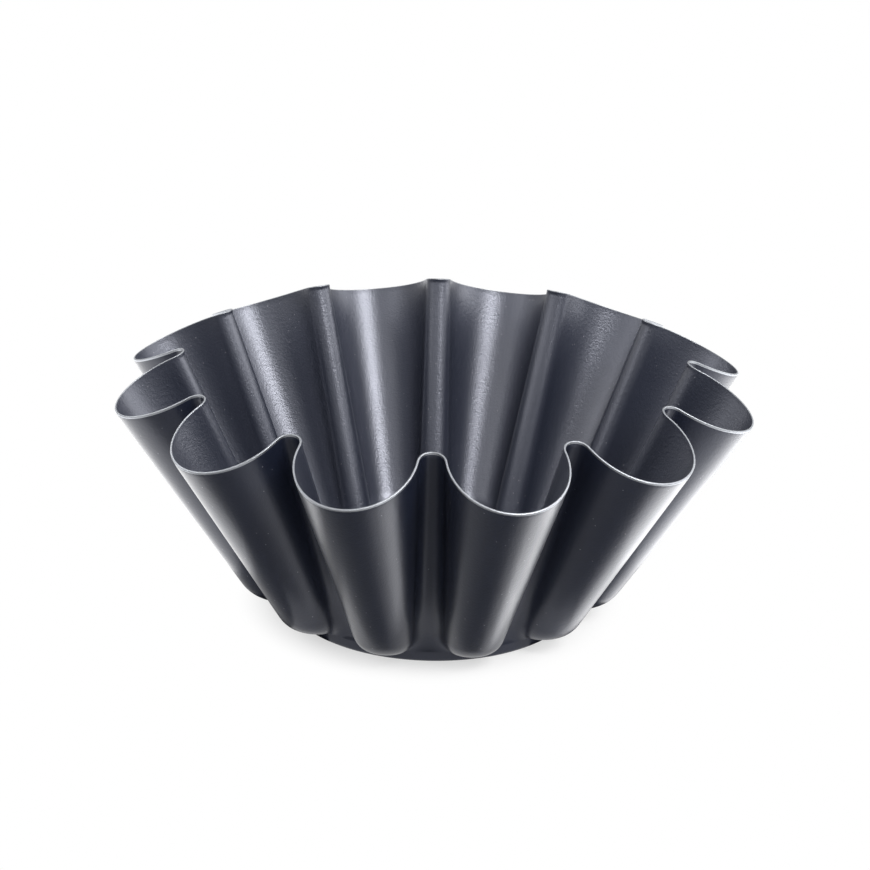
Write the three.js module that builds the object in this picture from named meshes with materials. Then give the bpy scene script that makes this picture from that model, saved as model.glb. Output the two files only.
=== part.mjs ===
// A fluted cake pan, deep drawn from one steel sheet, with a non-stick coat inside and a dark coat
// outside. Millimetres, +Z up. The origin is on the pan's axis, in the plane that its foot stands on.

import * as THREE from "three";

// Flutes: each one is a lobe that bulges outwards and a narrow ridge that points inwards
const FLUTE_COUNT = 12;

// Rim, on the outside of the steel: the ridges stand higher than the lobes
const RIM_RADIUS = 110;
const RIM_FLUTE_DEPTH = 23.2;
const RIM_RIDGE_RADIUS = 4.1;
const RIM_RIDGE_HEIGHT = 90;
const RIM_LOBE_DROP = 11.5;
const RIM_DROP_POWER = 1.12;
const COLLAR_HEIGHT = 1.5;

// Toes: the rounded lower ends of the lobes, which overhang the foot
const TOE_OVERHANG = 12.5;
const TOE_FLUTE_DEPTH = 14;
const TOE_RIDGE_RADIUS = 5.2;
const TOE_HEIGHT = 6.4;
const TOE_FILLET = 14;
const TOE_ROOT_INSET = 5;

// Foot: a round flat disc with a low upright band
const FOOT_RADIUS = 52.6;
const FOOT_EDGE = 1.2;
const FOOT_BAND_HEIGHT = 3.6;

// Layers
const SHEET_THICKNESS = 0.6;
const COAT_THICKNESS = 0.04;

// Facets
const LOBE_STEPS = 4;
const RIDGE_STEPS = 2;
const TOE_STEPS = 3;
const HALF_STEPS = LOBE_STEPS + RIDGE_STEPS;
const FLUTE_STEPS = 2 * HALF_STEPS;
const COLUMNS = FLUTE_STEPS * FLUTE_COUNT;
const HALF_PITCH = Math.PI / FLUTE_COUNT;

// Largest share of the shoulder between the foot and a toe that the toe's fillet may take
const SHOULDER_SHARE = 0.9;

// Half a flute in plan, from the lobe's crown at the first step to the ridge's tip at the last.
// A lobe arc turns straight into a ridge arc, and the lobe's radius follows from the other sizes, so that
// the two stay tangent. Each step gives a point, the direction away from the inside there, and how far it
// belongs to the lobe.
function halfFlute(crownRadius, fluteDepth, ridgeRadius) {
  const tipRadius = crownRadius - fluteDepth;
  const ridgeCentre = new THREE.Vector2(Math.cos(HALF_PITCH), Math.sin(HALF_PITCH));
  ridgeCentre.multiplyScalar(tipRadius + ridgeRadius);
  const crown = new THREE.Vector2(crownRadius, 0);
  const reach = crown.distanceToSquared(ridgeCentre) - ridgeRadius ** 2;
  const lobeRadius = reach / (2 * (crownRadius - ridgeCentre.x + ridgeRadius));
  const lobeCentre = new THREE.Vector2(crownRadius - lobeRadius, 0);
  const turn = ridgeCentre.clone().sub(lobeCentre).angle();
  return (step) => {
    const onLobe = step <= LOBE_STEPS;
    const centre = onLobe ? lobeCentre : ridgeCentre;
    const radius = onLobe ? lobeRadius : ridgeRadius;
    const share = onLobe ? step / LOBE_STEPS : (step - LOBE_STEPS) / RIDGE_STEPS;
    const angle = onLobe ? turn * share : turn + (HALF_PITCH - turn) * share;
    const away = new THREE.Vector2(Math.cos(angle), Math.sin(angle));
    const point = centre.clone().addScaledVector(away, onLobe ? radius : -radius);
    return { point, away, lobeShare: onLobe ? 1 : 1 - share };
  };
}

const rimFlute = halfFlute(RIM_RADIUS, RIM_FLUTE_DEPTH, RIM_RIDGE_RADIUS);
const toeFlute = halfFlute(FOOT_RADIUS + TOE_OVERHANG, TOE_FLUTE_DEPTH, TOE_RIDGE_RADIUS);

// Height of the trimmed edge: it falls from the ridge tips to the lobe crowns
function rimHeight(radius) {
  const outwards = (radius - (RIM_RADIUS - RIM_FLUTE_DEPTH)) / RIM_FLUTE_DEPTH;
  return RIM_RIDGE_HEIGHT - RIM_LOBE_DROP * Math.max(outwards, 0) ** RIM_DROP_POWER;
}

function lift(plan, height) {
  return new THREE.Vector3(plan.x, plan.y, height);
}

// The steel's outer surface along one line from the foot to the rim, on the half flute beside +X
function profile(step) {
  const rimPlan = rimFlute(step).point;
  const rim = lift(rimPlan, rimHeight(rimPlan.length()));
  const collar = lift(rimPlan, rim.z - COLLAR_HEIGHT);

  // The lines of a lobe draw together under its toe, so that the toe is rounded on its sides too
  const toePlan = toeFlute(step);
  const toe = lift(toePlan.point, TOE_HEIGHT);
  const root = toePlan.point.clone().addScaledVector(toePlan.away, -TOE_ROOT_INSET * toePlan.lobeShare);
  const outward = root.normalize();
  const flatEdge = lift(outward.clone().multiplyScalar(FOOT_RADIUS - FOOT_EDGE), 0);
  const bandFoot = lift(outward.clone().multiplyScalar(FOOT_RADIUS), FOOT_EDGE);
  const bandTop = lift(outward.clone().multiplyScalar(FOOT_RADIUS), FOOT_BAND_HEIGHT);

  // The fillet between the shoulder and the wall, along the wall and back along the shoulder
  const wall = collar.clone().sub(toe).normalize();
  const shoulder = toe.clone().sub(bandTop);
  const turn = shoulder.angleTo(wall);
  const fillet = TOE_FILLET * Math.tan(turn / 2);
  const onWall = toe.clone().addScaledVector(wall, fillet);
  const back = Math.min(fillet, SHOULDER_SHARE * shoulder.length());
  const onShoulder = toe.clone().addScaledVector(shoulder.normalize(), -back);
  const round = new THREE.QuadraticBezierCurve3(onShoulder, toe, onWall).getPoints(TOE_STEPS);

  return [flatEdge, bandFoot, bandTop, ...round, collar, rim];
}

// All lines of the pan, counted round the axis from the crown of the lobe on +X
function allProfiles() {
  const lines = [];
  for (let column = 0; column < COLUMNS; column += 1) {
    const flute = Math.floor(column / FLUTE_STEPS);
    const within = column % FLUTE_STEPS;
    const mirrored = within > HALF_STEPS;
    const line = profile(mirrored ? FLUTE_STEPS - within : within);
    const azimuth = 2 * HALF_PITCH * (flute + (mirrored ? 1 : 0));
    const turn = new THREE.Matrix4().makeRotationZ(azimuth);
    if (mirrored) {
      turn.multiply(new THREE.Matrix4().makeScale(1, -1, 1));
    }
    lines.push(line.map((point) => point.applyMatrix4(turn)));
  }
  return lines;
}

// The steel's outer surface as rings of points, with the middle of the foot first
const lines = allProfiles();
const RING_COUNT = lines[0].length;
const points = [new THREE.Vector3()];
for (let ring = 0; ring < RING_COUNT; ring += 1) {
  lines.forEach((line) => points.push(line[ring]));
}

function vertex(ring, column) {
  return 1 + ring * COLUMNS + (column % COLUMNS);
}

// Triangles of the surface that face away from the inside, from one ring up to the rim
function skinTriangles(firstRing) {
  const triangles = [];
  for (let column = 0; column < COLUMNS; column += 1) {
    if (firstRing === 0) {
      triangles.push([0, vertex(0, column + 1), vertex(0, column)]);
    }
    for (let ring = firstRing; ring < RING_COUNT - 1; ring += 1) {
      const low = [vertex(ring, column), vertex(ring, column + 1)];
      const high = [vertex(ring + 1, column), vertex(ring + 1, column + 1)];
      triangles.push([low[0], low[1], high[1]], [low[0], high[1], high[0]]);
    }
  }
  return triangles;
}

// For each point, the step that moves every facet beside it outwards by one millimetre
function offsetSteps() {
  const steps = points.map(() => new THREE.Vector3());
  const facetNormals = points.map(() => []);
  for (const corners of skinTriangles(0)) {
    const facet = new THREE.Triangle(...corners.map((index) => points[index]));
    const normal = facet.getNormal(new THREE.Vector3());
    corners.forEach((index) => {
      steps[index].addScaledVector(normal, facet.getArea());
      facetNormals[index].push(normal);
    });
  }
  return steps.map((step, index) => {
    const direction = step.normalize();
    const leans = facetNormals[index].map((normal) => normal.dot(direction));
    const lean = leans.reduce((sum, value) => sum + value, 0) / leans.length;
    return direction.divideScalar(lean);
  });
}

const outwardSteps = offsetSteps();

// A closed layer of the wall between two distances from the steel's outer surface
function layer(innerOffset, outerOffset, firstRing) {
  const positions = [];
  for (const offset of [outerOffset, innerOffset]) {
    points.forEach((point, index) => {
      const moved = point.clone().addScaledVector(outwardSteps[index], offset);
      positions.push(moved.x, moved.y, moved.z);
    });
  }
  const inside = points.length;
  const indices = [];
  for (const [a, b, c] of skinTriangles(firstRing)) {
    indices.push(a, b, c, inside + a, inside + c, inside + b);
  }
  const top = RING_COUNT - 1;
  for (let column = 0; column < COLUMNS; column += 1) {
    const rim = [vertex(top, column), vertex(top, column + 1)];
    indices.push(rim[0], rim[1], inside + rim[1], rim[0], inside + rim[1], inside + rim[0]);
    if (firstRing > 0) {
      const edge = [vertex(firstRing, column), vertex(firstRing, column + 1)];
      indices.push(edge[1], edge[0], inside + edge[0], edge[1], inside + edge[0], inside + edge[1]);
    }
  }
  const geometry = new THREE.BufferGeometry();
  geometry.setAttribute("position", new THREE.Float32BufferAttribute(positions, 3));
  geometry.setIndex(indices);
  geometry.computeVertexNormals();
  return geometry;
}

// Finishes
const BARE_STEEL = { color: 0xb9bbbd, roughness: 0.35, metalness: 1 };
const INSIDE_COAT = { color: 0x34353b, roughness: 0.42, metalness: 0.1 };
const OUTSIDE_COAT = { color: 0x24262c, roughness: 0.38, metalness: 0.1 };

// The rings that the layers start from: the outer coat leaves the foot's underside bare
const START_RING = { flatEdge: 0, bandFoot: 1 };

const STEEL_INSIDE = -SHEET_THICKNESS;
const COATED_INSIDE = STEEL_INSIDE - COAT_THICKNESS;

function subPart(name, geometry, finish) {
  const mesh = new THREE.Mesh(geometry, new THREE.MeshStandardMaterial(finish));
  mesh.name = name;
  return mesh;
}

const pan = new THREE.Group();
pan.name = "cake_pan";
pan.add(subPart("steel_shell", layer(STEEL_INSIDE, 0, START_RING.flatEdge), BARE_STEEL));
pan.add(subPart("inner_coating", layer(COATED_INSIDE, STEEL_INSIDE, START_RING.flatEdge), INSIDE_COAT));
pan.add(subPart("outer_coating", layer(0, COAT_THICKNESS, START_RING.bandFoot), OUTSIDE_COAT));

export default pan;
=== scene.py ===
"""A fluted cake pan, dressed on its solid model: a drawn steel sheet with a dark coat on either side."""

import math

import bpy
from bpy.props import FloatProperty, FloatVectorProperty, IntProperty, PointerProperty
from mathutils import Matrix, Vector


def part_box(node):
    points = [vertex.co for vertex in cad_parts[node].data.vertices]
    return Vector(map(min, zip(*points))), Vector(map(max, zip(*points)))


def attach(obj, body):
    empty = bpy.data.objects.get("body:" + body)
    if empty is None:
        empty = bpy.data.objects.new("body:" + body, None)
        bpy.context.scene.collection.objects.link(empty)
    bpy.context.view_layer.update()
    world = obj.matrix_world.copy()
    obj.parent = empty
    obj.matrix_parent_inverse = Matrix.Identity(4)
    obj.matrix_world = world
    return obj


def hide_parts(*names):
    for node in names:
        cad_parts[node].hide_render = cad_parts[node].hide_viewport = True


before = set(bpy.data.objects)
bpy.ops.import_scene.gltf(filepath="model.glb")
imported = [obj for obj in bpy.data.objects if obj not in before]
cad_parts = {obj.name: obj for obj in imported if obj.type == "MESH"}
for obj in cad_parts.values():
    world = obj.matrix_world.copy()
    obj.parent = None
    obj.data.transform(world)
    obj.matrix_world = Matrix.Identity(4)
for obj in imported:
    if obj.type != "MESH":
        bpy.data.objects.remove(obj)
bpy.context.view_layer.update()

bl_info = {
    "name": "Fluted cake pan",
    "version": (1, 0, 0),
    "blender": (4, 5, 0),
    "location": "3D View > Sidebar > Cake pan",
    "description": "Builds a fluted cake pan on its solid model, with its coats, light and camera",
    "category": "Add Mesh",
}

STEEL_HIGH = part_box("steel_shell")[1]

# Rows of the mesh: round half a flute, and along each stretch of the wall's line
LOBE_STEPS = 16
RIDGE_STEPS = 8
FLOOR_STEPS = 4
FOOT_EDGE_STEPS = 5
CREASE_STEPS = 4
TOE_STEPS = 14
WALL_STEPS = 10
BARE_STEPS = 3
CUT_EDGE_STEPS = 10

# Steps of the foot's rounded edge that the outer coat leaves bare
BARE_FOOT_STEPS = 2

# Largest share of the shoulder between the foot and a toe that the toe's rounding may take
SHOULDER_SHARE = 0.9

# Shape of the cut edge's section: 1 is half an ellipse, and a lower power is flatter with tighter corners
CUT_EDGE_POWER = 0.6

# Edges that turn by more than this are drawn sharp
SHARP_ANGLE = math.radians(50)

# Points closer than this are one point where two flutes meet
SEAM_DISTANCE = 0.000005

# Grain of the coats and of the bare steel, in features to a metre
PEEL_SCALE = 900.0
GRAIN_SCALE = 2000.0
FLECK_SCALE = 1500.0
CLOUD_SCALE = 28.0
RUB_SCALE = 900.0

# A cell of a coat holds a fleck where its random value passes the threshold
FLECK_THRESHOLD = 0.93

# Radius of a fleck, as a share of its cell
FLECK_RADIUS = 0.35

# Depth of the coats' relief, and the values of their clouds where a coat is smoothest and roughest
RELIEF_DEPTH = 0.0002
CLOUD_RANGE = (0.3, 0.7)

# Lowest and highest roughness of bare steel, and its darker tone as a share of its colour
STEEL_ROUGHNESS = (0.38, 0.55)
RUBBED_TONE = 0.8

# Matte surfaces of the stage, and the dark sheet right under the pan: painted shadow that the coats mirror
MATTE_ROUGHNESS = 0.9
SHADE_TONE = 0.1
SHADE_SIDES = 72
SHADE_DEPTH = 0.001

# Height of the glowing table's lamps above the floor
GLOW_HEIGHT = 0.0003

# Directions between which the room's brightness changes, away from the camera and then up from straight down
ROOM_FADE = (-0.7, 0.3)
TABLE_FADE = (-1.0, -0.7)
HORIZON_FADE = (-0.2, 0.0)


def number(name, description, default):
    """A plain number."""
    return FloatProperty(name=name, description=description, default=default)


def length(name, description, default):
    """A size in metres."""
    return FloatProperty(
        name=name, description=description, default=default, min=0.0, precision=5, unit="LENGTH"
    )


def angle(name, description, degrees):
    """A turn, kept in radians and shown in degrees."""
    return FloatProperty(name=name, description=description, default=math.radians(degrees), unit="ROTATION")


def share(name, description, default):
    """A number from 0 to 1."""
    return FloatProperty(
        name=name, description=description, default=default, min=0.0, max=1.0, subtype="FACTOR"
    )


def colour(name, description, default):
    """A colour in linear light."""
    return FloatVectorProperty(
        name=name, description=description, default=default, min=0.0, max=1.0, size=3, subtype="COLOR"
    )


class PanSizes(bpy.types.PropertyGroup):
    """Sizes of the pan, measured on the outside of the steel"""

    flute_count: IntProperty(name="Flutes", description="Lobes round the pan", default=12, min=3)
    rim_radius: length("Rim radius", "Axis to the crown of a lobe at the rim", STEEL_HIGH.x)
    rim_flute_depth: length("Rim flute depth", "Crown of a lobe to the tip of a ridge at the rim", 0.0232)
    rim_ridge_radius: length("Rim ridge radius", "Rounding of a ridge at the rim", 0.0041)
    ridge_height: length("Ridge height", "Floor to the top of a ridge", STEEL_HIGH.z)
    lobe_drop: length("Lobe drop", "How much lower the rim is at a lobe's crown", 0.0115)
    drop_power: number("Drop power", "How late the rim falls on a flute's side", 1.12)
    collar_height: length("Collar height", "Upright edge above the leaning wall", 0.0015)
    toe_overhang: length("Toe overhang", "Reach of a lobe's lower end past the foot", 0.0125)
    toe_flute_depth: length("Toe flute depth", "Crown of a toe to the tip of a ridge beside it", 0.014)
    toe_ridge_radius: length("Toe ridge radius", "Rounding of a ridge beside the toes", 0.0052)
    toe_height: length("Toe height", "Floor to the corner that a toe is rounded from", 0.0064)
    toe_fillet: length("Toe fillet", "Rounding between a toe and the wall above it", 0.014)
    toe_root_inset: length("Toe root inset", "How far a lobe's lines draw together under its toe", 0.005)
    foot_radius: length("Foot radius", "Axis to the foot's upright band", 0.0526)
    foot_edge: length("Foot edge", "Rounding between the foot's underside and its band", 0.0012)
    foot_band_height: length("Foot band height", "Floor to the crease above the foot's band", 0.0036)
    foot_crease: length("Foot crease", "Rounding of the crease above the foot's band", 0.0009)
    collar_lean: share("Collar lean", "How far the collar leans with the wall on the lobes", 0.85)
    collar_crease: length("Collar crease", "Rounding between the wall and the collar", 0.0005)
    bare_edge: length("Bare edge", "Height of the rounded cut edge above the coats", 0.0003)
    bare_band: length("Bare band", "Height that the outer coat leaves bare below the edge's top", 0.0008)
    sheet_thickness: length("Sheet thickness", "Thickness of the steel", 0.0006)
    coat_thickness: length("Coat thickness", "Thickness of either coat", 0.00004)


class PanFinish(bpy.types.PropertyGroup):
    """Colours and gloss of the pan"""

    inside_colour: colour("Inside coat", "Non-stick coat on the inside", (0.008, 0.0102, 0.0188))
    outside_colour: colour("Outside coat", "Coat on the outside", (0.007, 0.009, 0.0175))
    fleck_colour: colour("Flecks", "Fine mineral flecks in the coats", (0.10, 0.10, 0.115))
    gloss_tint: colour("Gloss tint", "Tint of what the coats mirror head on", (0.87, 0.89, 1.0))
    steel_colour: colour("Bare steel", "Cut edge and underside of the foot", (0.33, 0.343, 0.368))


class PanStage(bpy.types.PropertyGroup):
    """Camera, floor and light"""

    camera_azimuth: angle("Camera azimuth", "Turn of the camera round the pan, from the front", 15.245)
    camera_elevation: angle("Camera elevation", "Height of the camera above the floor, as an angle", 22.956)
    camera_distance: length("Camera distance", "Camera to the point that it circles", 0.8041)
    camera_aim_height: length("Camera aim height", "Height of the point that the camera circles", 0.0438)
    camera_roll: angle("Camera roll", "Turn of the camera about its own line of sight", 1.302)
    camera_pitch: angle("Camera pitch", "Turn of the camera upwards from that point", 1.14)
    camera_yaw: angle("Camera yaw", "Turn of the camera sideways from that point", -0.025)
    camera_lens: number("Lens", "Focal length in millimetres", 95.03)
    floor_colour: colour("Floor", "Pale paper under the pan", (0.7, 0.7, 0.7))
    floor_reach: length("Floor reach", "Axis to the edge of the floor", 3.0)
    floor_lift: share("Floor lift", "How far the floor beside the pan is shown as plain white", 0.6)
    shadow_start: length("Shadow start", "Axis to where the shadow starts to fade", 0.05)
    shadow_reach: length("Shadow reach", "Axis to where the floor shows as plain white", 0.07)
    # The shade reach sizes a dark sheet of painted shadow under the pan, seen only in the coats' gloss
    shade_reach: length("Shade reach", "Axis to the edge of the painted shadow sheet that the toes mirror", 0.067)
    room_brightness: share("Room brightness", "Brightness of the room on the camera's side", 0.34)
    below_brightness: share("Brightness below", "Brightness that the coats mirror straight down", 0.17)
    table_brightness: share("Brightness beside", "Brightness that the coats mirror beside the pan", 0.75)
    ambient_brightness: share("Ambient brightness", "Even light from all round", 0.15)


# Shape of the pan


def towards(heading):
    """Unit vector of a plan with this heading."""
    return Vector((math.cos(heading), math.sin(heading)))


def half_flute(sizes, crown_radius, flute_depth, ridge_radius):
    """Plan of half a flute, from the crown of its lobe at step 0 to the tip of its ridge at the last step.

    Gives a function of the step that returns the point, the direction away from the inside, and how far
    the point belongs to the lobe. The lobe's radius follows from the other sizes, so that the two arcs
    are tangent.
    """
    half_pitch = math.pi / sizes.flute_count
    ridge_centre = towards(half_pitch) * (crown_radius - flute_depth + ridge_radius)
    crown = Vector((crown_radius, 0.0))
    reach = (crown - ridge_centre).length_squared - ridge_radius ** 2
    lobe_radius = reach / (2 * (crown_radius - ridge_centre.x + ridge_radius))
    lobe_centre = Vector((crown_radius - lobe_radius, 0.0))
    between = ridge_centre - lobe_centre
    turn = math.atan2(between.y, between.x)

    def at(step):
        if step <= LOBE_STEPS:
            away = towards(turn * step / LOBE_STEPS)
            return lobe_centre + away * lobe_radius, away, 1.0
        passed = (step - LOBE_STEPS) / RIDGE_STEPS
        away = towards(turn + (half_pitch - turn) * passed)
        return ridge_centre - away * ridge_radius, away, 1.0 - passed

    return at


def rim_height(sizes, radius):
    """Height of the trimmed edge: it falls from the ridge tips to the lobe crowns."""
    outwards = (radius - (sizes.rim_radius - sizes.rim_flute_depth)) / sizes.rim_flute_depth
    return sizes.ridge_height - sizes.lobe_drop * max(outwards, 0.0) ** sizes.drop_power


def bend(start, corner, end, steps):
    """Points of a curve that leaves start towards corner and comes into end from there."""
    points = []
    for step in range(steps + 1):
        passed = step / steps
        points.append(start * (1 - passed) ** 2 + corner * (2 * passed * (1 - passed)) + end * passed ** 2)
    return points


def straight(start, end, steps):
    """Points between start and end, without either."""
    return [start.lerp(end, step / steps) for step in range(1, steps)]


def lift(plan, height):
    """A point of a plan at a height."""
    return Vector((plan.x, plan.y, height))


def wall_line(sizes, rim_step, toe_step):
    """The steel's outer surface along one line: from the axis over the foot and the toe to the cut edge."""
    toe_plan, away, lobe_share = toe_step
    toe = lift(toe_plan, sizes.toe_height)

    rim_plan, _, rim_lobe_share = rim_step
    top = rim_height(sizes, rim_plan.length)
    rim = lift(rim_plan, top - sizes.bare_edge)
    upright = lift(rim_plan, top - sizes.collar_height)
    leaning = toe.lerp(rim, (upright.z - toe.z) / (rim.z - toe.z))
    collar = upright.lerp(leaning, sizes.collar_lean * rim_lobe_share)

    outward = (toe_plan - away * (sizes.toe_root_inset * lobe_share)).normalized()
    flat_edge = lift(outward * (sizes.foot_radius - sizes.foot_edge), 0.0)
    foot_corner = lift(outward * sizes.foot_radius, 0.0)
    band_foot = lift(outward * sizes.foot_radius, sizes.foot_edge)
    band_top = lift(outward * sizes.foot_radius, sizes.foot_band_height)

    wall = (collar - toe).normalized()
    shoulder = toe - band_top
    reach = sizes.toe_fillet * math.tan(shoulder.angle(wall) / 2)
    back = min(reach, SHOULDER_SHARE * shoulder.length)
    along = shoulder.normalized()
    on_shoulder = toe - along * back
    on_wall = toe + wall * reach

    crease_start = band_top - Vector((0.0, 0.0, sizes.foot_crease))
    crease_end = band_top + along * min(sizes.foot_crease, (shoulder.length - back) / 2)
    collar_start = collar - wall * sizes.collar_crease
    rise = (rim - collar).normalized()
    collar_end = collar + rise * sizes.collar_crease
    coat_end = rim - rise * (sizes.bare_band - sizes.bare_edge)

    line = [Vector()]
    line += straight(Vector(), flat_edge, FLOOR_STEPS)
    line += bend(flat_edge, foot_corner, band_foot, FOOT_EDGE_STEPS)
    line += bend(crease_start, band_top, crease_end, CREASE_STEPS)
    line += bend(on_shoulder, toe, on_wall, TOE_STEPS)
    line += straight(on_wall, collar_start, WALL_STEPS)
    line += bend(collar_start, collar, collar_end, CREASE_STEPS)
    line += [coat_end] + straight(coat_end, rim, BARE_STEPS)
    return line + [rim]


def mirrored(point, heading):
    """A point seen in the upright plane through the axis that has this heading."""
    across = Vector((-math.sin(heading), math.cos(heading), 0.0))
    return point - across * (2 * point.dot(across))


def outward_directions(lines, half_pitch):
    """For every point of the lines, the unit vector away from the inside, square to the surface."""
    before_first = [mirrored(point, 0.0) for point in lines[1]]
    after_last = [mirrored(point, half_pitch) for point in lines[-2]]
    padded = [before_first, *lines, after_last]
    directions = []
    for column, line in enumerate(lines):
        row = [Vector((0.0, 0.0, -1.0))]
        for ring in range(1, len(line)):
            round_axis = padded[column + 2][ring] - padded[column][ring]
            along_line = line[min(ring + 1, len(line) - 1)] - line[ring - 1]
            row.append(round_axis.cross(along_line).normalized())
        directions.append(row)
    return directions


def surface(sizes):
    """Lines of the steel's outer surface on half a flute, and the outward direction at each point."""
    rim_flute = half_flute(sizes, sizes.rim_radius, sizes.rim_flute_depth, sizes.rim_ridge_radius)
    toe_radius = sizes.foot_radius + sizes.toe_overhang
    toe_flute = half_flute(sizes, toe_radius, sizes.toe_flute_depth, sizes.toe_ridge_radius)
    steps = range(LOBE_STEPS + RIDGE_STEPS + 1)
    lines = [wall_line(sizes, rim_flute(step), toe_flute(step)) for step in steps]
    return lines, outward_directions(lines, math.pi / sizes.flute_count)


def offset_line(line, directions, distance):
    """A line moved outwards by a distance."""
    return [point + away * distance for point, away in zip(line, directions)]


def cut_edge(outer, inner, height):
    """Points of the rounded cut edge from the outer side of the sheet over the top to the inner side."""
    middle = (outer + inner) / 2
    half = outer - middle
    up = Vector((0.0, 0.0, height))
    points = []
    for step in range(1, CUT_EDGE_STEPS):
        heading = math.pi * step / CUT_EDGE_STEPS
        across = math.copysign(abs(math.cos(heading)) ** CUT_EDGE_POWER, math.cos(heading))
        points.append(middle + half * across + up * math.sin(heading) ** CUT_EDGE_POWER)
    return points


def panel(name, sections, closed):
    """A mesh of the sections side by side. A closed section's last point joins its first."""
    count = len(sections[0])
    points = [point for section in sections for point in section]
    faces = []
    for column in range(len(sections) - 1):
        for ring in range(count if closed else count - 1):
            after = (ring + 1) % count
            here = column * count
            beside = here + count
            faces.append((here + ring, beside + ring, beside + after, here + after))
    mesh = bpy.data.meshes.new(name)
    mesh.from_pydata(points, [], faces)
    return mesh


def add_object(name, data):
    """A new object of the scene."""
    made = bpy.data.objects.new(name, data)
    bpy.context.scene.collection.objects.link(made)
    return made


# Nodes


def node(tree, kind, inputs=None, **settings):
    """A new node of a tree, with its settings, and the plain values or the links of its inputs."""
    made = tree.nodes.new(kind)
    for name, value in settings.items():
        setattr(made, name, value)
    for name, value in (inputs or {}).items():
        given = value if isinstance(value, list) else [value]
        for each in given:
            if isinstance(each, bpy.types.NodeSocket):
                tree.links.new(each, made.inputs[name])
            else:
                made.inputs[name].default_value = each
    return made


def calculated(tree, operation, first, second):
    """The result of one step of arithmetic."""
    return node(tree, "ShaderNodeMath", {0: first, 1: second}, operation=operation).outputs[0]


def mixed(tree, factor, first, second, **settings):
    """The first value where the factor is 0, the second where it is 1."""
    inputs = {"Factor": factor, "A": first, "B": second}
    return node(tree, "ShaderNodeMix", inputs, **settings).outputs["Result"]


def mapped(tree, value, source, target=(0.0, 1.0), **settings):
    """A value taken from one range to another."""
    limits = {"From Min": source[0], "From Max": source[1], "To Min": target[0], "To Max": target[1]}
    return node(tree, "ShaderNodeMapRange", {"Value": value, **limits}, **settings).outputs["Result"]


def shared_tree(name, make):
    """A node group that is made once and then found by its name."""
    return bpy.data.node_groups.get(name) or make()


def flute_ring_tree():
    """Node tree that mirrors half a flute, sets the flutes round the axis and closes the seams."""
    tree = bpy.data.node_groups.new("Flute ring", "GeometryNodeTree")
    tree.interface.new_socket("Half Flute", in_out="INPUT", socket_type="NodeSocketGeometry")
    tree.interface.new_socket("Flutes", in_out="INPUT", socket_type="NodeSocketInt")
    tree.interface.new_socket("Seam Distance", in_out="INPUT", socket_type="NodeSocketFloat")
    tree.interface.new_socket("Finish", in_out="INPUT", socket_type="NodeSocketMaterial")
    tree.interface.new_socket("Pan Layer", in_out="OUTPUT", socket_type="NodeSocketGeometry")
    given = tree.nodes.new("NodeGroupInput").outputs

    half = given["Half Flute"]
    other_half = node(tree, "GeometryNodeTransform", {"Geometry": half, "Scale": (1.0, -1.0, 1.0)})
    turned = node(tree, "GeometryNodeFlipFaces", {"Mesh": other_half.outputs[0]})
    flute = node(tree, "GeometryNodeJoinGeometry", {"Geometry": [half, turned.outputs[0]]})

    pitch = calculated(tree, "DIVIDE", math.tau, given["Flutes"])
    index = node(tree, "GeometryNodeInputIndex")
    heading = calculated(tree, "MULTIPLY", index.outputs[0], pitch)
    euler = node(tree, "ShaderNodeCombineXYZ", {"Z": heading})
    rotation = node(tree, "FunctionNodeEulerToRotation", {0: euler.outputs[0]})
    points = node(tree, "GeometryNodePoints", {"Count": given["Flutes"]})
    ring = node(
        tree,
        "GeometryNodeInstanceOnPoints",
        {"Points": points.outputs[0], "Instance": flute.outputs[0], "Rotation": rotation.outputs[0]},
    )
    realized = node(tree, "GeometryNodeRealizeInstances", {"Geometry": ring.outputs[0]})
    closed = node(
        tree,
        "GeometryNodeMergeByDistance",
        {"Geometry": realized.outputs[0], "Distance": given["Seam Distance"]},
    )
    painted = node(
        tree,
        "GeometryNodeSetMaterial",
        {"Geometry": closed.outputs[0], "Material": given["Finish"]},
    )
    node(tree, "NodeGroupOutput", {"Pan Layer": painted.outputs[0]})
    return tree


def pan_layer(name, sections, closed, finish, sizes, node_name):
    """One layer of the pan: half a flute repeated round the axis, in place of its solid."""
    piece = add_object(name, panel(name, sections, closed))
    tree = shared_tree("Flute ring", flute_ring_tree)
    modifier = piece.modifiers.new("Flute ring", "NODES")
    modifier.node_group = tree
    values = {"Flutes": sizes.flute_count, "Seam Distance": SEAM_DISTANCE, "Finish": finish}
    for item in tree.interface.items_tree:
        if item.in_out == "INPUT" and item.name in values:
            modifier[item.identifier] = values[item.name]
    bpy.context.view_layer.update()
    evaluated = piece.evaluated_get(bpy.context.evaluated_depsgraph_get())
    mesh = bpy.data.meshes.new_from_object(evaluated)
    piece.modifiers.remove(modifier)
    piece.data = mesh
    mesh.name = name
    mesh.shade_smooth()
    mesh.set_sharp_from_angle(angle=SHARP_ANGLE)
    if not mesh.materials:
        raise RuntimeError(f"{name} has lost its finish")
    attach(piece, "root")
    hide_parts(node_name)
    return piece


# Materials


def new_material(name):
    """A plain material, with its node tree and its shader."""
    material = bpy.data.materials.new(name)
    material.use_nodes = True
    tree = material.node_tree
    return material, tree, tree.nodes["Principled BSDF"]


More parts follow.
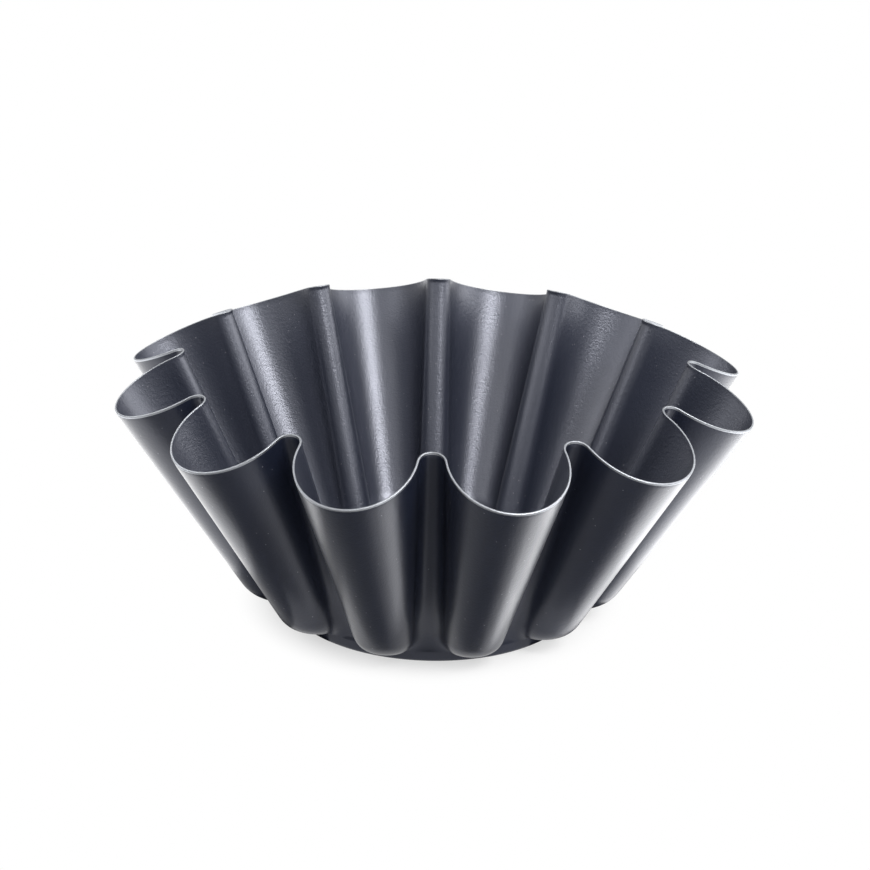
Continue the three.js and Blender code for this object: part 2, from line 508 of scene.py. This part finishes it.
def coat_grain_group():
    """Shader group for a sprayed coat: its peel, its grain and its mineral flecks."""
    tree = bpy.data.node_groups.new("Coat grain", "ShaderNodeTree")
    for name in ("Peel Scale", "Grain Scale", "Fleck Scale", "Fleck Threshold"):
        tree.interface.new_socket(name, in_out="INPUT", socket_type="NodeSocketFloat")
    for name in ("Height", "Cloud", "Flecks"):
        tree.interface.new_socket(name, in_out="OUTPUT", socket_type="NodeSocketFloat")
    given = tree.nodes.new("NodeGroupInput").outputs
    place = tree.nodes.new("ShaderNodeTexCoord").outputs["Object"]

    peel = node(tree, "ShaderNodeTexNoise", {"Vector": place, "Scale": given["Peel Scale"], "Detail": 1.0})
    grain = node(tree, "ShaderNodeTexNoise", {"Vector": place, "Scale": given["Grain Scale"], "Detail": 2.0})
    height = calculated(tree, "ADD", peel.outputs[0], grain.outputs[0])

    cloud = node(tree, "ShaderNodeTexNoise", {"Vector": place, "Scale": CLOUD_SCALE, "Detail": 4.0})

    cells = node(tree, "ShaderNodeTexVoronoi", {"Vector": place, "Scale": given["Fleck Scale"]}).outputs
    picked = calculated(tree, "GREATER_THAN", cells["Color"], given["Fleck Threshold"])
    spot = calculated(tree, "LESS_THAN", cells["Distance"], FLECK_RADIUS)
    flecks = calculated(tree, "MULTIPLY", picked, spot)

    node(tree, "NodeGroupOutput", {"Height": height, "Cloud": cloud.outputs[0], "Flecks": flecks})
    return tree


def coat(name, base, finish, roughness, ior, relief):
    """A satin coat: dark, grained and finely flecked. Roughness is its lowest and its highest value."""
    material, tree, shader = new_material(name)
    grain = node(
        tree,
        "ShaderNodeGroup",
        {
            "Peel Scale": PEEL_SCALE,
            "Grain Scale": GRAIN_SCALE,
            "Fleck Scale": FLECK_SCALE,
            "Fleck Threshold": FLECK_THRESHOLD,
        },
        node_tree=shared_tree("Coat grain", coat_grain_group),
    ).outputs
    fleck = (*finish.fleck_colour, 1.0)
    paint = mixed(tree, grain["Flecks"], (*base, 1.0), fleck, data_type="RGBA")
    gloss = mapped(tree, grain["Cloud"], CLOUD_RANGE, roughness)
    bump = node(
        tree,
        "ShaderNodeBump",
        {"Strength": relief, "Distance": RELIEF_DEPTH, "Height": grain["Height"]},
    )
    tree.links.new(paint, shader.inputs["Base Color"])
    tree.links.new(gloss, shader.inputs["Roughness"])
    tree.links.new(bump.outputs["Normal"], shader.inputs["Normal"])
    shader.inputs["IOR"].default_value = ior
    shader.inputs["Specular Tint"].default_value = (*finish.gloss_tint, 1.0)
    return material


def bare_steel(base):
    """Steel where no coat covers it: the trimmed edge and the rubbed underside of the foot."""
    material, tree, shader = new_material("Bare steel")
    place = tree.nodes.new("ShaderNodeTexCoord").outputs["Object"]
    rub = node(tree, "ShaderNodeTexNoise", {"Vector": place, "Scale": RUB_SCALE, "Detail": 3.0}).outputs[0]
    gloss = mapped(tree, rub, (0.0, 1.0), STEEL_ROUGHNESS)
    darker = [RUBBED_TONE * value for value in base]
    tone = mixed(tree, rub, (*darker, 1.0), (*base, 1.0), data_type="RGBA")
    tree.links.new(tone, shader.inputs["Base Color"])
    tree.links.new(gloss, shader.inputs["Roughness"])
    shader.inputs["Metallic"].default_value = 1.0
    return material


def matte(name, base):
    """A dull finish that mirrors nothing, with its node tree and its shader."""
    material, tree, shader = new_material(name)
    shader.inputs["Base Color"].default_value = (*base, 1.0)
    shader.inputs["Roughness"].default_value = MATTE_ROUGHNESS
    shader.inputs["Specular IOR Level"].default_value = 0.0
    return material, tree, shader


# Operators


class CAKEPAN_OT_steel_sheet(bpy.types.Operator):
    """Make the drawn steel sheet, with its rounded cut edge"""

    bl_idname = "cakepan.steel_sheet"
    bl_label = "Steel sheet"

    def execute(self, context):
        sizes = context.scene.cakepan_sizes
        finish = context.scene.cakepan_finish
        sections = []
        for line, away in zip(*surface(sizes)):
            inner = offset_line(line, away, -sizes.sheet_thickness)
            sections.append(line + cut_edge(line[-1], inner[-1], sizes.bare_edge) + inner[::-1])
        steel = bare_steel(finish.steel_colour)
        pan_layer("drawn_sheet", sections, False, steel, sizes, "steel_shell")
        return {"FINISHED"}


class CAKEPAN_OT_inner_coat(bpy.types.Operator):
    """Make the non-stick coat on the inside of the sheet"""

    bl_idname = "cakepan.inner_coat"
    bl_label = "Inner coat"

    def execute(self, context):
        sizes = context.scene.cakepan_sizes
        finish = context.scene.cakepan_finish
        sections = []
        for line, away in zip(*surface(sizes)):
            outer = offset_line(line, away, -sizes.sheet_thickness)
            inner = offset_line(line, away, -sizes.sheet_thickness - sizes.coat_thickness)
            sections.append(outer + inner[::-1])
        base = finish.inside_colour
        paint = coat("Inside coat", base, finish, roughness=(0.36, 0.42), ior=1.9, relief=0.3)
        pan_layer("nonstick_lining", sections, False, paint, sizes, "inner_coating")
        return {"FINISHED"}


class CAKEPAN_OT_outer_coat(bpy.types.Operator):
    """Make the dark coat on the outside of the sheet, above the edge of the foot"""

    bl_idname = "cakepan.outer_coat"
    bl_label = "Outer coat"

    def execute(self, context):
        sizes = context.scene.cakepan_sizes
        finish = context.scene.cakepan_finish
        covered = slice(FLOOR_STEPS + BARE_FOOT_STEPS, -BARE_STEPS)
        sections = []
        for line, away in zip(*surface(sizes)):
            outer = offset_line(line[covered], away[covered], sizes.coat_thickness)
            sections.append(outer + line[covered][::-1])
        base = finish.outside_colour
        paint = coat("Outside coat", base, finish, roughness=(0.3, 0.36), ior=1.45, relief=0.16)
        pan_layer("outside_coat", sections, True, paint, sizes, "outer_coating")
        return {"FINISHED"}


class CAKEPAN_OT_stage(bpy.types.Operator):
    """Make the floor, the light and the camera"""

    bl_idname = "cakepan.stage"
    bl_label = "Stage"

    def execute(self, context):
        stage = context.scene.cakepan_stage
        make_floor(stage)
        make_shade(stage)
        make_world(stage)
        make_lights(stage)
        make_camera(stage)
        context.scene.view_settings.view_transform = "Standard"
        return {"FINISHED"}


# Stage


def seen_rays(tree, path):
    """Output that is 1 for rays that show the background: to the camera, in a gloss or through glass."""
    gloss = calculated(tree, "MAXIMUM", path["Is Glossy Ray"], path["Is Transmission Ray"])
    return calculated(tree, "MAXIMUM", path["Is Camera Ray"], gloss)


def make_floor(stage):
    """A wide pale floor, which shows white away from the pan and keeps the shadow at its foot.

    The coats' gloss passes it by: what they mirror below is made by the shade, the world and the lamps.
    """
    material, tree, shader = matte("Pale paper", stage.floor_colour)
    white = node(tree, "ShaderNodeEmission")
    place = tree.nodes.new("ShaderNodeTexCoord").outputs["Object"]
    away = node(tree, "ShaderNodeVectorMath", {0: place}, operation="LENGTH").outputs["Value"]
    fade = (stage.shadow_start, stage.shadow_reach)
    far = mapped(tree, away, fade, interpolation_type="SMOOTHSTEP")
    path = tree.nodes.new("ShaderNodeLightPath").outputs
    near = calculated(tree, "MULTIPLY", path["Is Camera Ray"], stage.floor_lift)
    white_share = mixed(tree, far, near, seen_rays(tree, path))
    shown = node(tree, "ShaderNodeMixShader", {0: white_share, 1: shader.outputs[0], 2: white.outputs[0]})
    tree.links.new(shown.outputs[0], tree.nodes["Material Output"].inputs["Surface"])

    reach = stage.floor_reach
    corners = [(-reach, -reach, 0.0), (reach, -reach, 0.0), (reach, reach, 0.0), (-reach, reach, 0.0)]
    mesh = bpy.data.meshes.new("floor")
    mesh.from_pydata(corners, [], [(0, 1, 2, 3)])
    mesh.materials.append(material)
    floor = add_object("floor", mesh)
    floor.visible_glossy = False
    floor.visible_shadow = False


def make_shade(stage):
    """A dark sheet under the pan, painted shadow: the coats mirror it, and it keeps the lamps below off the
    foot.
    """
    # Painted shadow: a dark sheet below the floor, hidden from the camera, stands in for the shade under the
    # pan
    material, _, _ = matte("Painted shadow sheet", [SHADE_TONE] * 3)
    headings = [math.tau * step / SHADE_SIDES for step in range(SHADE_SIDES)]
    corners = [lift(towards(heading) * stage.shade_reach, -SHADE_DEPTH) for heading in headings]
    mesh = bpy.data.meshes.new("shade")
    mesh.from_pydata(corners, [], [tuple(range(SHADE_SIDES))])
    mesh.materials.append(material)
    shade = add_object("shade", mesh)
    shade.visible_camera = False
    shade.visible_diffuse = False


def make_world(stage):
    """White behind and beside the pan, a dimmer room on the camera's side, and a table below the horizon.

    The camera sees plain white all round, and only the coats' gloss shows the rest.
    """
    world = bpy.data.worlds.new("Studio")
    bpy.context.scene.world = world
    world.use_nodes = True
    tree = world.node_tree
    place = tree.nodes.new("ShaderNodeTexCoord").outputs["Generated"]
    turned = node(
        tree,
        "ShaderNodeVectorRotate",
        {"Vector": place, "Angle": -stage.camera_azimuth},
        rotation_type="Z_AXIS",
    )
    direction = node(tree, "ShaderNodeSeparateXYZ", {0: turned.outputs[0]}).outputs
    behind = mapped(tree, direction["Y"], ROOM_FADE, (stage.room_brightness, 1.0))
    below = mapped(tree, direction["Z"], TABLE_FADE, (stage.below_brightness, stage.table_brightness))
    above = mapped(tree, direction["Z"], HORIZON_FADE)
    room = mixed(tree, above, below, behind)
    path = tree.nodes.new("ShaderNodeLightPath").outputs
    shown = calculated(tree, "MAXIMUM", room, path["Is Camera Ray"])
    level = mixed(tree, seen_rays(tree, path), stage.ambient_brightness, shown)
    tree.links.new(level, tree.nodes["Background"].inputs["Strength"])
    tree.nodes["Background"].inputs["Color"].default_value = (1.0, 1.0, 1.0, 1.0)


def area_lamp(name, size, brightness, place):
    """A soft rectangular lamp at a place. Its brightness is that of its face, with white paper at 1."""
    width, height = size
    data = bpy.data.lights.new(name, "AREA")
    data.shape = "RECTANGLE"
    data.size = width
    data.size_y = height
    data.energy = brightness * math.pi * width * height
    lamp = add_object(name, data)
    lamp.matrix_world = place


def softbox(stage, name, azimuth, elevation, distance, size, brightness):
    """A lamp that faces the pan from a distance. Its azimuth is counted from the camera to the right."""
    turn = Matrix.Rotation(stage.camera_azimuth + math.radians(azimuth), 4, "Z")
    rise = Matrix.Rotation(math.pi / 2 - math.radians(elevation), 4, "X")
    area_lamp(name, size, brightness, turn @ rise @ Matrix.Translation((0.0, 0.0, distance)))


def table_glow(stage, name, across, away, brightness):
    """A flat lamp in the table, which shines up at the pan.

    Its edges are counted from the pan's axis as the camera sees them: across to the right, and away from it.
    """
    size = (across[1] - across[0], away[1] - away[0])
    middle = Vector((sum(across) / 2, sum(away) / 2, GLOW_HEIGHT))
    turn = Matrix.Rotation(stage.camera_azimuth, 4, "Z")
    face_up = Matrix.Rotation(math.pi, 4, "X")
    area_lamp(name, size, brightness, turn @ Matrix.Translation(middle) @ face_up)


def make_lights(stage):
    """A main light high on the right, fills round the pan and below it, and the glow of the table."""
    softbox(stage, "main_light", azimuth=41, elevation=54, distance=1.1, size=(0.55, 0.5), brightness=16)
    softbox(stage, "main_surround", azimuth=72, elevation=52, distance=1.2, size=(1.4, 0.9), brightness=1.9)
    softbox(stage, "front_fill", azimuth=-45, elevation=43, distance=1.0, size=(1.1, 0.3), brightness=2.3)
    softbox(stage, "right_fill", azimuth=98, elevation=16, distance=0.75, size=(0.6, 0.4), brightness=3)
    softbox(stage, "left_fill", azimuth=290, elevation=30, distance=0.8, size=(0.5, 0.4), brightness=1.1)
    softbox(stage, "low_front", azimuth=15, elevation=4, distance=1.2, size=(1.7, 0.24), brightness=0.9)
    softbox(stage, "back_light", azimuth=238, elevation=40, distance=1.0, size=(0.3, 0.3), brightness=6)
    softbox(
        stage, "under_right", azimuth=112, elevation=-42, distance=0.375, size=(0.3, 0.3), brightness=2.6
    )
    softbox(
        stage, "under_right_rim", azimuth=112, elevation=-48, distance=0.4, size=(0.46, 0.46), brightness=0.9
    )
    softbox(stage, "under_front", azimuth=45, elevation=-38, distance=1.0, size=(1.0, 0.5), brightness=1)
    table_glow(stage, "right_glow", across=(0.085, 0.36), away=(-0.09, 0.4), brightness=1.6)
    table_glow(stage, "left_glow", across=(-0.36, -0.078), away=(-0.07, 0.4), brightness=2.2)
    table_glow(stage, "foot_glow", across=(-0.05, 0.05), away=(-0.065, -0.04), brightness=1)


def make_camera(stage):
    """A camera that circles a point on the pan's axis, with its own small turns."""
    data = bpy.data.cameras.new("camera")
    data.lens = stage.camera_lens
    camera = add_object("camera", data)
    aim = Matrix.Translation((0.0, 0.0, stage.camera_aim_height))
    orbit = Matrix.Rotation(stage.camera_azimuth, 4, "Z") @ aim
    tilt = Matrix.Rotation(math.pi / 2 - stage.camera_elevation, 4, "X")
    look = tilt @ Matrix.Translation((0.0, 0.0, stage.camera_distance))
    turn = Matrix.Rotation(stage.camera_yaw, 4, "Y") @ Matrix.Rotation(stage.camera_pitch, 4, "X")
    camera.matrix_world = orbit @ look @ turn @ Matrix.Rotation(stage.camera_roll, 4, "Z")
    bpy.context.scene.camera = camera


# Sidebar and start


class CAKEPAN_PT_sidebar(bpy.types.Panel):
    """Lists the sizes, the finish and the stage, and the operators that use them"""

    bl_idname = "CAKEPAN_PT_sidebar"
    bl_label = "Cake pan"
    bl_space_type = "VIEW_3D"
    bl_region_type = "UI"
    bl_category = "Cake pan"

    def draw(self, context):
        scene = context.scene
        for group in (scene.cakepan_sizes, scene.cakepan_finish, scene.cakepan_stage):
            column = self.layout.box().column()
            for name in group.__annotations__:
                column.prop(group, name)
        for operator in OPERATORS:
            self.layout.operator(operator.bl_idname)


OPERATORS = (CAKEPAN_OT_steel_sheet, CAKEPAN_OT_inner_coat, CAKEPAN_OT_outer_coat, CAKEPAN_OT_stage)
CLASSES = (PanSizes, PanFinish, PanStage, *OPERATORS, CAKEPAN_PT_sidebar)


def register():
    """Adds the classes and the pan's settings to Blender."""
    for each in CLASSES:
        bpy.utils.register_class(each)
    bpy.types.Scene.cakepan_sizes = PointerProperty(type=PanSizes)
    bpy.types.Scene.cakepan_finish = PointerProperty(type=PanFinish)
    bpy.types.Scene.cakepan_stage = PointerProperty(type=PanStage)


def unregister():
    """Takes them away again."""
    del bpy.types.Scene.cakepan_stage
    del bpy.types.Scene.cakepan_finish
    del bpy.types.Scene.cakepan_sizes
    for each in reversed(CLASSES):
        bpy.utils.unregister_class(each)


def main():
    """Builds the pan and its stage."""
    register()
    bpy.ops.cakepan.steel_sheet()
    bpy.ops.cakepan.inner_coat()
    bpy.ops.cakepan.outer_coat()
    bpy.ops.cakepan.stage()


if __name__ == "__main__":
    main()
